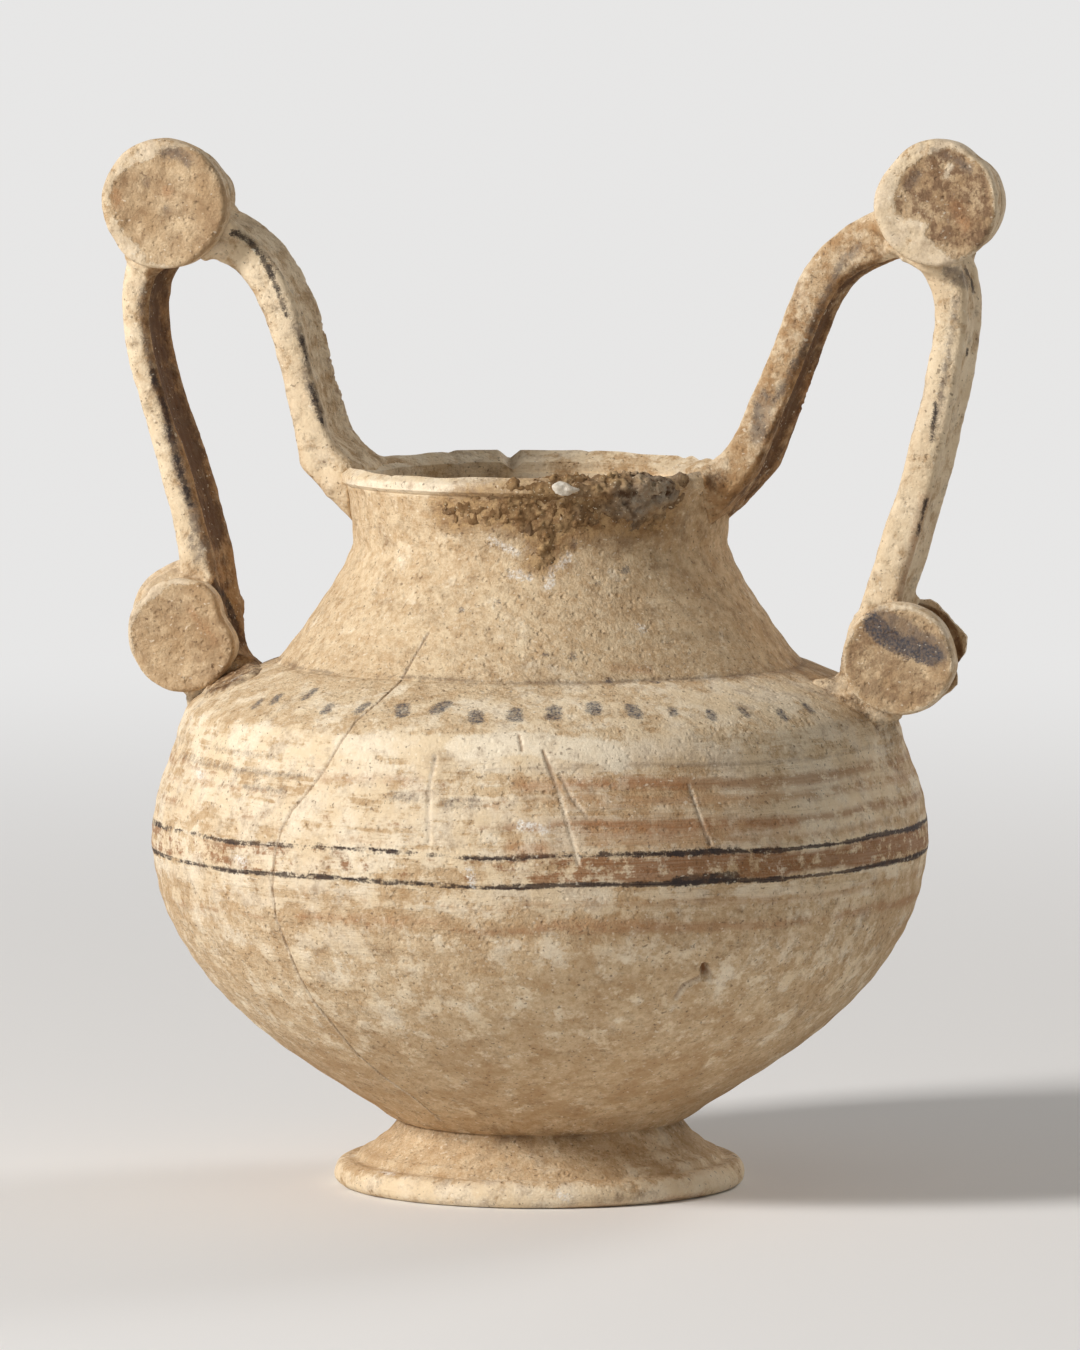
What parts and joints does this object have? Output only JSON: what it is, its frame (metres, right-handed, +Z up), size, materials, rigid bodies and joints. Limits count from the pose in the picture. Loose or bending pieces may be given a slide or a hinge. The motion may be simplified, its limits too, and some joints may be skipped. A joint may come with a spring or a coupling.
{
  "type": "two-handled jar",
  "caption": "Fired clay jar with a biconical body, a waisted neck and tall looped handles that carry discs at crown and root.",
  "frame": {"origin": "centre of the disc foot's flat underside, on the axis that the jar was turned about", "axes": "+Z up along the jar's axis, -Y the front face, the handles at -X and +X"},
  "size_m": [0.2205, 0.1868, 0.2524],
  "materials": {
    "thrown_clay": "matt",
    "handle_clay": "matt",
    "disc_clay": "matt"
  },
  "bodies": {
    "root": {"foot": "thrown_clay", "body": "thrown_clay", "neck": "thrown_clay", "rim": "thrown_clay", "left_handle": "handle_clay", "right_handle": "handle_clay", "left_upper_front_disc": "disc_clay", "left_upper_rear_disc": "disc_clay", "left_lower_front_disc": "disc_clay", "left_lower_rear_disc": "disc_clay", "right_upper_front_disc": "disc_clay", "right_upper_rear_disc": "disc_clay", "right_lower_front_disc": "disc_clay", "right_lower_rear_disc": "disc_clay"}
  },
  "joints": []
}
